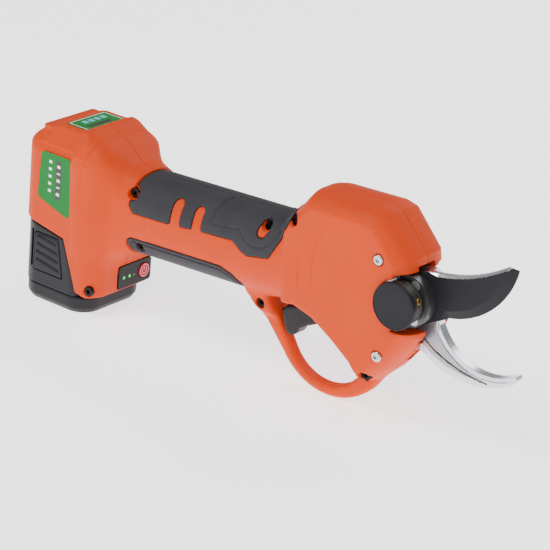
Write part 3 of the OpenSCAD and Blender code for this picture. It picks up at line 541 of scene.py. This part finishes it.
def battery(x, y, z):
    a = np.abs(y)
    cheek = smax(rrect(x, y, -1.2, 0, 23.5, 25, 12), CHEEK(x, z), 0.8)
    cheek = smax(cheek, 9.15 - z, 0.6)
    core = smax(ring_cells(x, y, z), span(z, 9.15, 75), 1.4)
    d = smin(cheek, core, 0.8)
    d = cut(d, np.maximum(rrect(x, y, 0, 0, 19, 19, 5), z - 72.8), 0.3)
    d = cut(d, np.maximum(LATCH(x, z) - 0.35, 20.3 - a), 0.5)
    d = cut(d, np.maximum(rrect(x, z, -16.2, 28.5, 0.8, 10.5, 0.6), 21.2 - a), 0.3)
    for yy in (-8, 0, 8):
        d = cut(d, np.maximum(rrect(x, y, 1, yy, 2.5, 3, 0.3), 72 - z), 0.2)
    for sx in (-15.5, 15.5):
        d = cut(d, np.maximum(np.hypot(x - sx, y) - 1.2, 74 - z), 0.2)
    return d


grow("battery_case", battery, (-27, -26.5, 8), (23, 26.5, 77), STEP, BLACK, "battery", ["battery_shell"],
     40, False)


def base(x, y, z):
    d = smax(rrect(x, y, -1, 0, 23.4, 24.75, 12.2), 1.0 - z, 3.0)
    foot = smax(rrect(x, y, -1, 0, 22.0, 23.2, 11), -z, 0.8)
    d = smin(d, foot, 0.8)
    d = smax(d, z - 9, 0.9)
    return cut(d, np.maximum(rrect(x, y, 0, 0, 19, 19, 5), 3 - z), 0.3)


grow("battery_foot", base, (-24, -25, -1), (24, 25, 10), STEP * 0.8, BLACK, "battery", ["battery_base"],
     40, False)


def latch(sign):
    def f(x, y, z):
        a = y * sign
        face = a - 25.25 + 0.35 * ease(z, 36, 38)
        for i in range(4):
            v = (z + 0.15 * x) - (21.2 + 4.5 * i)
            groove = 0.95 * (1 - ease(np.abs(v), 0.25, 1.15))
            face = face + groove * ease(LATCH(x, z) * -1, 1.2, 1.8)
        d = smax(smax(face, 22 - a, 0.3), LATCH(x, z), 0.8)
        return d
    return f


for side, sign in (("right", -1), ("left", 1)):
    y0, y1 = (-26, -21) if sign < 0 else (21, 26)
    grow("latch_%s_key" % side, latch(sign), (-15, y0, 16), (7.5, y1, 39), STEP * 0.5, BLACK, "latch_" + side,
         ["latch_" + side], 40, False)

# ---- blades ----
KNIFE = poly([(-3, 13.2), (8, 15.3), (14, 15.5)] + arc(3.9, 102.7, 87.8, 279, 301.7, 16) + [(56, 27.6)]
             + arc(14.3, 36.4, 42.8, -12.7, -82.3, 28) + [(8, -11)])
HUB_SCREWS = [(10.4 * math.cos(math.radians(a)), -10.4 * math.sin(math.radians(a))) for a in (60, 180, 300)]


def knife(x, y, z):
    r = np.hypot(x, z)
    plan = smin(KNIFE(x, z), r - 14, 1.5)
    d = smax(plan, span(y, -6, -2), 0.25)
    back = np.hypot(x - 3.9, z - 102.7) - 87.8
    back = np.where(x > 13, back, back + (13 - x) * 0.3)
    d = np.maximum(d, ((-6 - y) + (1.3 - back) * 0.9) * 0.74)
    edge = 42.8 - np.hypot(x - 14.3, z - 36.4)
    d = np.maximum(d, ((-6 - y) + (4.6 - edge) * 0.62 - 9 * ease(-x, -20, -12)) * 0.85)
    d = cut(d, r - 7.05, 0.2)
    return d


def split(o, test, mats):
    for m in mats:
        o.data.materials.append(m)
    me = o.data
    n = len(me.polygons)
    c, nor = np.zeros(n * 3), np.zeros(n * 3)
    me.polygons.foreach_get("center", c)
    me.polygons.foreach_get("normal", nor)
    c, nor = c.reshape(-1, 3) * 1000, nor.reshape(-1, 3)
    dx, dz = c[:, 0] - PIVOT_X, c[:, 2] - PIVOT_Z
    x, z = dx * COS + dz * SIN, dz * COS - dx * SIN
    me.polygons.foreach_set("material_index", np.asarray(test(x, c[:, 1], z, nor), np.int32))


o = grow("blade_knife", knife, (-15, -7, -15), (59, -1, 33), STEP * 0.62, BLADE, "blade", ["blade"],
         24)
split(o, lambda x, y, z, n: np.where((np.hypot(x - 3.9, z - 102.7) < 89.35) & (x > 6) & (n[:, 1] > -0.93)
                                     & (y < -2.1), 1, 0), [POLISHED])

HOOK = poly([(-4, -10), (12.6, -3)] + arc(41.2, 1.2, 31.1, -154.9, -59, 26) + [(59, -27)]
            + arc(31.9, 11, 48.1, -60, -128, 22) + [(-5, -33), (-20, -33), (-26, -24), (-23, -12.5)])
GROOVE = path([(-1, -15.5), (4, -19.6), (8, -22.6), (12, -25.3), (20, -29), (28, -31.6), (36, -33.2),
               (42, -33.8)])
JAW_SPOTS = [(-9, -22), (-20, -27)]


def hook(x, y, z):
    plan = smin(HOOK(x, z), np.hypot(x, z) - 13, 1.0)
    inner = np.hypot(x - 41.2, z - 1.2)
    outer = 48.1 - np.hypot(x - 31.9, z - 11)
    rim = 1.1 * (1 - ease(outer, 0, 5.2)) ** 2
    d = smax(plan, np.abs(y - 1.1) - 3.0 + np.where(x > 4, rim, 0) * 0.8, 0.5)
    step = np.maximum(np.maximum(inner - 33.3, y + 1.25), 12 - x)
    d = cut(d, step, 0.15)
    d = d + np.where(y < 0, 0.45 * (1 - ease(GROOVE(x, z), 0.1, 0.55)), 0)
    d = cut(d, np.hypot(x, z) - 5.05, 0.2)
    for sx, sz in JAW_SPOTS:
        d = cut(d, np.hypot(x - sx, z - sz) - 1.95, 0.1)
    return d


o = grow("counter_blade_hook", hook, (-28, -3, -40), (62, 5, 14), STEP * 0.62, JAW, "root", ["counter_blade"],
         30)
# The split below gives the inner step and the outer rim the polished steel, and the groove on the near face the
# dark steel: that dark strip is painted shade in the groove.
split(o, lambda x, y, z, n: np.where((np.hypot(x - 41.2, z - 1.2) < 33.25) & (x > 12), 1,
                                     np.where((GROOVE(x, z) < 0.5) & (y < 0), 2,
                                              np.where((np.hypot(x - 31.9, z - 11) > 44.2) & (x > 3), 1, 0))),
      [POLISHED, DARK])

# ---- pivot ----
def cap(x, y, z):
    r = np.hypot(x, z)
    d = smax(r - 12, span(y, -22.8, -19.8), 1.1)
    d = cut(d, np.maximum(np.abs(r - 10.9) - 0.3, y + 22.45), 0.3)
    return np.maximum(d, np.where(r < 10.6, -22.55 - y, -9))


grow("pivot_cap_disc", cap, (-13, -23.5, -13), (13, -19, 13), STEP * 0.5, CAP, "root", ["pivot_cap"],
     35)


LOCK_ANGLE = math.radians(20)


def lock_frame(x, z):
    """Turns x and z so that the first runs along the lock screw."""
    c, s = math.cos(LOCK_ANGLE), math.sin(LOCK_ANGLE)
    return x * c + z * s, -x * s + z * c


def nut(x, y, z):
    r = np.hypot(x, z)
    d = smax(r - 11, span(y, -19.8, -13), 0.9)
    for yy in (-17.9, -15.1):
        d = cut(d, np.maximum(np.abs(y - yy) - 0.22, 10.6 - r), 0.15)
    u, v = lock_frame(x, z)
    d = cut(d, np.maximum(np.hypot(v, y + 16.4) - 1.75, 8 - u), 0.2)
    return cut(d, r - 5.05, 0.1)


grow("lock_nut_ring", nut, (-12, -20.5, -12), (12, -12.5, 12), STEP * 0.5, DARK, "root", ["lock_nut"],
     35)


def grub(x, y, z):
    u, v = lock_frame(x, z)
    q = np.hypot(v, y + 16.4)
    d = smax(q - 1.6, span(u, 8, 11.7), 0.5)
    return cut(d, np.maximum(np.abs(v - (y + 16.4) * 0.4) - 0.28, 11.1 - u), 0.1)


grow("lock_screw_grub", grub, (6.5, -18.5, 0.5), (12, -14.3, 6.5), 0.16, BRASS, "root", ["lock_screw"],
     35)


def head_screws(x, y, z):
    d = 99.0
    for sx, sz in HEAD_SPOTS:
        r = np.hypot(x - sx, z - sz)
        top = smax(r - 2.75, span(y, -20, -18.2), 0.9)
        u, v = np.abs(x - sx), np.abs(z - sz)
        hexa = np.maximum(u, u * 0.5 + v * 0.866) - 1.25
        top = cut(top, np.maximum(hexa, y + 18.9), 0.15)
        d = np.minimum(d, np.minimum(top, np.maximum(r - 1.8, span(y, -18.3, -13.5))))
    return d


grow("head_screw_pair", head_screws, (-16, -20.6, -33.5), (-6, -13, 23.5), 0.22, BRIGHT, "root",
     ["head_screws"], 35)

# ---- trigger ----
TRIGGER = poly([(-44, -14.8), (-56, -18.2), (-70, -23.6), (-76, -25), (-79, -28), (-78, -34), (-76, -39.5),
                (-73.5, -41), (-70.5, -39.5), (-68, -36), (-63.5, -33.2), (-56, -30), (-43.5, -22.2)])


def trigger(x, y, z):
    a = np.abs(y)
    r = np.hypot(x + 45, z + 18.5)
    d = smax(smin(TRIGGER(x, z), r - 3.9, 1), a - 5.3, 2.2)
    d = cut(d, r - 1.58, 0.1)
    d = cut(d, np.maximum(r - 5, a - 2.3), 0.2)
    return cut(d, np.maximum(np.hypot(x + 58, z + 22.5) - 1.65, -2 - y), 0.1)


grow("trigger_lever", trigger, (-81, -6.2, -42.5), (-39, 6.2, -13), STEP * 0.7, BLACK, "trigger", ["trigger"],
     35)


# ---- control panel ----
def panel(x, y, z):
    d = smax(rrect(y, z, 7, 19, 13, 6.5, 1.6), span(x, 27.9, 29), 0.35)
    d = cut(d, np.hypot(y - 14, z - 19) - 4.3, 0.25)
    for yy in (-1.5, 3, 6.5):
        d = cut(d, np.hypot(y - yy, z - 18.5) - 0.95, 0.1)
    return d


grow("control_panel_face", panel, (27.2, -7, 12), (29.7, 21, 26), 0.3, PANEL, "root", ["control_panel"],
     35, False)


def button(x, y, z):
    r = np.hypot(y - 14, z - 19)
    d = smax(r - 4, span(x, 26.9, 29.6), 0.6)
    d = smin(d, np.maximum(r - 2.5, span(x, 25.9, 27)), 0.1)
    return d


def symbol(x, y, z):
    dy, dz = y - 14, z - 19
    r = np.hypot(dy, dz)
    rim = np.abs(r - 3.35) - 0.33
    open_ring = np.maximum(np.abs(r - 1.75) - 0.27, 0.75 - np.abs(dy) - np.where(dz < 0, 9, 0))
    bar = rrect(dy, dz, 0, 1.35, 0.27, 1.1, 0.25)
    return smax(np.minimum(rim, np.minimum(open_ring, bar)), span(x, 29.3, 29.66), 0.1)


grow("power_button_key", button, (25.5, 9.4, 14.4), (30.1, 18.6, 23.6), 0.25, RED, "power_button",
     ["power_button"], 35, False)
# The power symbol emits its own colour (glow 0.35): painted light, as the symbol is no lamp.
PINK = material("symbol_pink", rgb(225, 110, 125), 0.35, grain=1600, depth=0.000005, glow=0.35, specular=0.2)
grow("power_button_symbol", symbol, (29, 9.6, 14.6), (30, 18.4, 23.4), 0.13, PINK, "power_button", (),
     35, False)


def lenses(x, y, z):
    d = 99.0
    for yy in (-1.5, 3, 6.5):
        r = np.hypot(y - yy, z - 18.5)
        d = np.minimum(d, smax(r - 0.9, span(x, 26.1, 29.1), 0.5))
    return d


o = grow("led_lens_row", lenses, (25.8, -3, 17), (29.6, 8, 20), 0.16, LED, "root", ["led_lenses"],
         35, False)
split(o, lambda x, y, z, n: np.where(y > 4.8, 1, 0), [DIM])


# ---- labels ----
def plate(name, outline, lift, plane, mat, nodes=()):
    """A thin printed film: outline is (u, v); plane says which face it lies on."""
    n = len(outline)
    low, high = lift
    if plane == "side":
        P = [(u, -low, v) for u, v in outline] + [(u, -high, v) for u, v in outline]
    else:
        P = [(u, v, low) for u, v in outline] + [(u, v, high) for u, v in outline]
    faces = [list(range(n))[::-1], list(range(n, 2 * n))]
    faces += [[i, (i + 1) % n, n + (i + 1) % n, n + i] for i in range(n)]
    o = add(name, P, faces, mat, "root", nodes, 30, False)
    bm = bmesh.new()
    bm.from_mesh(o.data)
    bmesh.ops.recalc_face_normals(bm, faces=bm.faces)
    bm.to_mesh(o.data)
    bm.free()
    return o


def soften(points, r, n=5):
    """Rounds the corners of a convex outline."""
    out = []
    for i, p in enumerate(points):
        a, b = np.array(points[i - 1], float), np.array(points[(i + 1) % len(points)], float)
        p = np.array(p, float)
        u, v = (a - p) / np.linalg.norm(a - p), (b - p) / np.linalg.norm(b - p)
        s, e = p + u * r, p + v * r
        for k in range(n + 1):
            t = k / n
            out.append(tuple((1 - t) ** 2 * s + 2 * t * (1 - t) * p + t * t * e))
    return out


def bar(u, v, w, h, lean=0.0):
    return [(u - w / 2 - lean, v - h / 2), (u + w / 2 - lean, v - h / 2), (u + w / 2 + lean, v + h / 2),
            (u - w / 2 + lean, v + h / 2)]


SIDE = soften([(-12.8, 58.8), (-11.2, 84.6), (9.2, 84.6), (9.8, 51.6)], 2.6)
plate("side_label_film", SIDE, (26.0, 26.25), "side", GREEN, ["side_label"])
plate("side_label_block", bar(1.2, 71, 3.8, 21), (26.25, 26.29), "side", MARK_BLACK)
for i, h in enumerate((3.2, 1.6, 3.2, 1.6, 3.2)):
    plate("side_label_tick_%d" % i, bar(1.2, 78.5 - i * 3.8, 2.2, h * 0.5), (26.29, 26.32), "side",
          MARK_WHITE)
for i in range(5):
    plate("side_label_bar_%d" % i, bar(-4.6, 80 - i * 4.0, 2.0, 1.5, 0.0), (26.25, 26.29), "side", MARK_WHITE)
TOP = soften(bar(2, 0, 15, 29), 1)
plate("top_label_film", TOP, (98.0, 98.3), "top", GREEN, ["top_label"])
for i, (u, v, w, h) in enumerate(((2, 13.4, 12.6, 0.5), (2, -13.4, 12.6, 0.5), (-4.6, 0, 0.5, 26.8),
                                  (8.6, 0, 0.5, 26.8))):
    plate("top_label_frame_%d" % i, bar(u, v, w, h), (98.3, 98.33), "top", MARK_WHITE)
plate("top_label_block", bar(5.4, -1, 2.6, 17), (98.3, 98.33), "top", MARK_BLACK)
CYAN = material("print_cyan", rgb(90, 190, 200), 0.4, grain=1800, depth=0.000005, tone=0.03)
for i in range(4):
    plate("top_label_cell_%d" % i, bar(-0.4, 8 - i * 4.6, 3.6, 3.2), (98.3, 98.33), "top", CYAN)

# ---- the pieces that keep their own shape: motor, gears, electronics, cells, screws ----
# The shell screws' heads are coloured near-black with low specular instead of the material the record gives
# them: painted shade of the deep recesses they sit in.
SCREW_SHADE = material("blackened_screw", rgb(24, 22, 22), 0.5, grain=1500, depth=0.00003, tone=0.15,
                     specular=0.15)
SLOT_OF = {p["node"]: p["material_slot"] for p in frame["record"]["subparts"]}
for node, o in frame["nodes"].items():
    o.data.materials.clear()
    o.data.materials.append(SCREW_SHADE if node == "shell_screws" else SLOT_MATERIALS[SLOT_OF[node]])

# ---- camera, floor and light ----
def aim(o, target, roll=0.0):
    ahead = Vector(target) - Vector(o.location)
    o.rotation_mode = "QUATERNION"
    o.rotation_quaternion = ahead.to_track_quat("-Z", "Y") @ Quaternion((0, 0, 1), math.radians(roll))


cam = bpy.data.objects.new("camera", bpy.data.cameras.new("camera"))
bpy.context.collection.objects.link(cam)
cam.location = (0.812, -0.930, 0.5325)
cam.data.lens = 163.6
cam.data.sensor_width = 36
cam.data.clip_start, cam.data.clip_end = 0.02, 20
aim(cam, (0.126, 0, 0.0513), 5.08)
bpy.context.scene.camera = cam

FLOOR = material("floor_white", (0.93, 0.93, 0.94, 1), 0.6, grain=60, depth=0.0, tone=0.004)
FLOOR.node_tree.nodes["Principled BSDF"].inputs["Emission Color"].default_value = (1, 1, 1, 1)
FLOOR.node_tree.nodes["Principled BSDF"].inputs["Emission Strength"].default_value = 1.7
me = bpy.data.meshes.new("floor")
me.from_pydata([(-6, -6, 0), (6, -6, 0), (6, 6, 0), (-6, 6, 0)], [], [(0, 1, 2, 3)])
floor = bpy.data.objects.new("floor", me)
bpy.context.collection.objects.link(floor)
me.materials.append(FLOOR)


def lamp(name, place_at, target, size, power, colour=(1, 1, 1)):
    data = bpy.data.lights.new(name, "AREA")
    data.shape, data.size, data.energy, data.color = "DISK", size, power, colour
    o = bpy.data.objects.new(name, data)
    bpy.context.collection.objects.link(o)
    o.location = place_at
    aim(o, target)


lamp("key", (-0.3, -0.9, 1.5), (0.12, 0, 0.05), 0.8, 24, (1, 0.98, 0.96))
lamp("fill", (1.3, -0.7, 0.8), (0.15, 0, 0.05), 0.7, 5, (0.96, 0.98, 1))
lamp("back", (0.2, 1.3, 1.0), (0.12, 0, 0.06), 0.9, 9)
world = bpy.data.worlds.new("studio")
world.use_nodes = True
world.node_tree.nodes["Background"].inputs["Color"].default_value = (1, 1, 1, 1)
world.node_tree.nodes["Background"].inputs["Strength"].default_value = 0.45
bpy.context.scene.world = world
